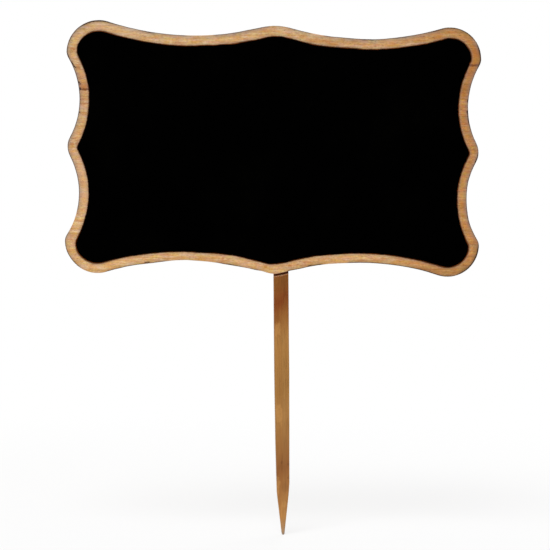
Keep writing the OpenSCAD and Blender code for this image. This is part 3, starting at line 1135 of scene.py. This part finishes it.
def bamboo_material():
    """Split bamboo: straight fibres along the stake, darker under the board from stain and painted shadow
    of the board, and pale at the cut point.
    """
    material, tree, shader, place = new_material("bamboo", stake_tip, (0, stake_lean, 0))
    upright = millimetres(tree, stake_tip, (0, math.radians(90) + stake_lean, 0))
    wood = use(tree, WOOD_FIBRE, {"Vector": upright, "Fibre Length": 16.0, "Fibre Width": 0.22,
                                  "Band Length": 70.0, "Band Width": 0.9, "Pore Length": 5.0,
                                  "Pore Width": 0.09, "Pore Level": 0.63})
    aside = part(tree, place, 0)
    sway = cloud(tree, stretch(tree, place, (1, 1, 0.2)), 0.9, 2.0)
    height = maths(tree, "ADD", part(tree, place, 2), scaled(tree, sway, 4.0, -2.0))
    height = scaled(tree, aside, -0.7, height)
    ramp = add(tree, "ShaderNodeValToRGB", {0: maths(tree, "DIVIDE", height, stake_length)})
    stops = ramp.color_ramp.elements
    stops[0].position, stops[0].color = 0, BAMBOO_TONES_AND_SHADE[0][1]
    stops[1].position, stops[1].color = 1, BAMBOO_TONES_AND_SHADE[-1][1]
    for level, tone in BAMBOO_TONES_AND_SHADE[1:-1]:
        stops.new(level / stake_length).color = tone
    tone = ramp.outputs[0]
    for kind, share, tint in BAMBOO_GRAIN:
        tone = shade(tree, tone, wood[kind], share, tint)
    tone = stain(tree, tone, wood["Pore"], 0.12, BAMBOO_PORE)
    off_strip = maths(tree, "ABSOLUTE", maths(tree, "SUBTRACT", aside, DARK_STRIP))
    tone = shade(tree, tone, ease(tree, off_strip, *DARK_STRIP_SPAN), 0.5, DARK_STRIP_TINT)
    tone = add_marks(tree, tone, place, STAKE_MARKS)
    height = maths(tree, "SUBTRACT", wood["Fibre"], wood["Pore"])
    surface(tree, shader, tone, scaled(tree, wood["Fibre"], 0.2, 0.42), 0.15, height, 0.04)
    return material


def bamboo_end_material():
    """The sawn top of the splint: pale ground with the dark dots of the fibre bundles."""
    material, tree, shader, place = new_material("bamboo_end_grain", stake_tip, (0, stake_lean, 0))
    flat = stretch(tree, place, (1, 1, 0.05))
    dots = add(tree, "ShaderNodeTexVoronoi", {"Vector": flat, "Scale": 2.6}).outputs["Distance"]
    bundle = ease(tree, dots, 0.42, 0.2)
    dirt = cloud(tree, place, 1.5, 3.0)
    tone = stain(tree, blend(tree, dirt, END_PALE, END_BROWN), bundle, 0.75, FIBRE_BUNDLE)
    height = scaled(tree, bundle, 0.8, dirt)
    surface(tree, shader, tone, scaled(tree, dirt, 0.2, 0.65), PLAIN_GLOSS, height, 0.08)
    return material


# The glue's edge under the board: the top of its bead, and how the bead rises to the right
BEAD_TOP = Vector((-3.25, 0, 63.34))
BEAD_RISE = 0.2
# Heights above that top where the glue darkens downwards, and where its film, painted dark as the board's
# shadow with some scorch, starts, ends and fades, and how far forward of the stake's middle the film starts
LOW_SPAN = (4.0, -0.4)
FILM_START = (-0.06, 0.06)
FILM_END = (3.0, 1.6)
FILM_FADE = (0.15, 0.8)
FILM_FRONT = (-0.9, -1.15)
GLUE_CLEAR = colour(206, 176, 128)
GLUE_MILKY = colour(228, 208, 170)
GLUE_LOW = colour(198, 146, 104)
FILM_SHADOW_DARK = colour(84, 30, 2)
FILM_SHADOW_BROWN = colour(136, 76, 36)


def hot_glue_material():
    """Cloudy amber glue with a soft gloss, its thin film right under the board painted dark brown, partly
    scorch and partly painted shadow of the board's edge.
    """
    material, tree, shader, place = new_material("hot_glue", BEAD_TOP * MM)
    milk = cloud(tree, place, 0.9, 3.0)
    above = scaled(tree, part(tree, place, 0), -BEAD_RISE, part(tree, place, 2))
    tone = blend(tree, milk, GLUE_CLEAR, GLUE_MILKY)
    tone = stain(tree, tone, ease(tree, above, *LOW_SPAN), 1.0, GLUE_LOW)
    # painted shadow: the thin film under the board's edge is darkened as the board's shadow, with some
    # scorch in it
    film = times(tree, ease(tree, above, *FILM_START), ease(tree, above, *FILM_END))
    in_front = ease(tree, part(tree, place, 1), *FILM_FRONT)
    film_shadow_tone = blend(tree, ease(tree, above, *FILM_FADE), FILM_SHADOW_DARK, FILM_SHADOW_BROWN)
    tone = stain(tree, tone, times(tree, film, in_front), 1.0, film_shadow_tone)
    feed(tree, shader, {"Subsurface Weight": 0.25, "Subsurface Scale": 0.4 * MM})
    surface(tree, shader, tone, scaled(tree, milk, 0.15, 0.25), 0.15, milk, 0.05)
    return material


RESIN_DARK = colour(30, 19, 12)
RESIN_BROWN = colour(66, 40, 22)


def resin_material():
    """The dark line of cured resin between two veneers."""
    material, tree, shader, place = new_material("bond_resin", board_middle)
    patch = cloud(tree, place, 1.3, 3.0)
    tone = blend(tree, patch, RESIN_DARK, RESIN_BROWN)
    surface(tree, shader, tone, scaled(tree, patch, 0.3, 0.4), PLAIN_GLOSS, patch, 0.03)
    return material


# The studio

FLOOR_SIZE = 4
FLOOR_GREY = 0.8
SHADOW_SHARE = 0.3
SHADOW_NEAR = 0.08
SHADOW_FAR = 0.3
WORLD_LIGHT = 0.55
# The lamps: a name, a place, a size and the watts
LAMPS = (
    ("key_softbox", (-0.3, -0.62, 1.05), 0.62, 9.0),
    ("rear_softbox", (0.35, 0.6, 0.4), 0.6, 2.8),
)


def seen_directly(tree):
    """1 for what the lens sees itself, in gloss or through glass, and 0 for light on a surface."""
    path = tree.nodes.new("ShaderNodeLightPath").outputs
    gloss_or_glass = maths(tree, "MAXIMUM", path["Is Glossy Ray"], path["Is Transmission Ray"])
    return maths(tree, "MAXIMUM", path["Is Camera Ray"], gloss_or_glass)


def floor():
    """A pale floor that is white to the lens and keeps the sign's soft shadow."""
    bpy.ops.object.select_all(action="DESELECT")
    bpy.ops.mesh.primitive_plane_add(size=FLOOR_SIZE, location=(0, 0, 0))
    piece = bpy.context.object
    piece.name = "floor"
    material = bpy.data.materials.new("floor")
    tree = empty_tree(material)
    plain = add(tree, "ShaderNodeBsdfDiffuse", {"Color": (FLOOR_GREY, FLOOR_GREY, FLOOR_GREY, 1)})
    glow = add(tree, "ShaderNodeEmission", {"Color": (1, 1, 1, 1), "Strength": 1.0})
    place = tree.nodes.new("ShaderNodeTexCoord").outputs["Object"]
    reach = add(tree, "ShaderNodeVectorMath", {0: place}, operation="LENGTH").outputs["Value"]
    shadow = times(tree, ease(tree, reach, SHADOW_FAR, SHADOW_NEAR), SHADOW_SHARE)
    white = times(tree, seen_directly(tree), maths(tree, "SUBTRACT", 1.0, shadow))
    mixed = add(tree, "ShaderNodeMixShader", {0: white, 1: plain.outputs[0], 2: glow.outputs[0]})
    add(tree, "ShaderNodeOutputMaterial", {0: mixed.outputs[0]})
    piece.data.materials.append(material)


def world():
    """An even white studio: plain white behind the sign, and dimmer as light."""
    made = bpy.data.worlds.new("studio")
    bpy.context.scene.world = made
    tree = empty_tree(made)
    strength = scaled(tree, seen_directly(tree), 1 - WORLD_LIGHT, WORLD_LIGHT)
    back = add(tree, "ShaderNodeBackground", {"Color": (1, 1, 1, 1), "Strength": strength})
    add(tree, "ShaderNodeOutputWorld", {0: back.outputs[0]})


def softbox(name, place, size, watts):
    """A square soft lamp aimed at the board's middle."""
    light = bpy.data.lights.new(name, "AREA")
    light.size = size
    light.energy = watts
    made = new_object(name, light)
    made.location = place
    made.rotation_euler = (board_middle - Vector(place)).to_track_quat("-Z", "Y").to_euler()


def photo_camera():
    """A camera that sees the board's middle, size and slant as the photograph does."""
    turn = (Matrix.Rotation(BOARD_PITCH, 3, "X") @ Matrix.Rotation(BOARD_YAW, 3, "Z")
            @ Matrix.Rotation(BOARD_ROLL, 3, "Y"))
    off_axis = (BOARD_PIXEL - Vector((PHOTO_WIDTH, PHOTO_WIDTH)) / 2) / PIXELS_PER_M
    ahead = Vector((off_axis.x, VIEW_DISTANCE, -off_axis.y))
    right, forward, up = turn
    lens = bpy.data.cameras.new("photo_camera")
    lens.sensor_width = SENSOR_WIDTH
    lens.lens = SENSOR_WIDTH * PIXELS_PER_M * VIEW_DISTANCE / PHOTO_WIDTH
    lens.clip_start = CLIP_START
    camera = new_object("photo_camera", lens)
    facing = Matrix((right, up, -forward)).transposed().to_4x4()
    camera.matrix_world = Matrix.Translation(board_middle - turn.transposed() @ ahead) @ facing
    bpy.context.scene.camera = camera


# The sign

photo_camera()

front_wood = front_veneer_material()
rear_wood = rear_veneer_material()
outer_edge = cut_edge_material("outer_veneer_edge", OUTER_CHAR, OUTER_BROWN, (0, 0, 0))
core_edge = cut_edge_material("core_veneer_edge", CORE_CHAR, CORE_BROWN, (0, math.radians(90), 0))
resin = resin_material()

panel = painted_panel(chalkboard_paint_material(), thin_paint_material())
front_ply = outer_ply("face_veneer", "front_ply", board_low.y, -1, (front_wood, outer_edge), panel)
rear_ply = outer_ply("back_veneer", "rear_ply", rear_high.y, 1, (rear_wood, outer_edge))
core_ply = inner_layer("core_veneer", "core_ply", core_edge, CORE_BURNT_BACK)
front_resin = inner_layer("front_bond_line", "front_resin", resin, RESIN_BURNT_BACK)
rear_resin = inner_layer("back_bond_line", "rear_resin", resin, RESIN_BURNT_BACK)
stake = bamboo_stake(bamboo_material(), bamboo_end_material())
glue = glue_bead(hot_glue_material())

finish_piece(panel, "chalkboard_coat")
finish_piece(front_ply, "face_veneer")
finish_piece(front_resin, "front_bond_line")
finish_piece(core_ply, "core_veneer")
finish_piece(rear_resin, "back_bond_line")
finish_piece(rear_ply, "back_veneer")
finish_piece(stake, "stake")
finish_piece(glue, "hot_glue")

floor()
world()
for lamp in LAMPS:
    softbox(*lamp)
bpy.context.scene.view_settings.view_transform = "Standard"
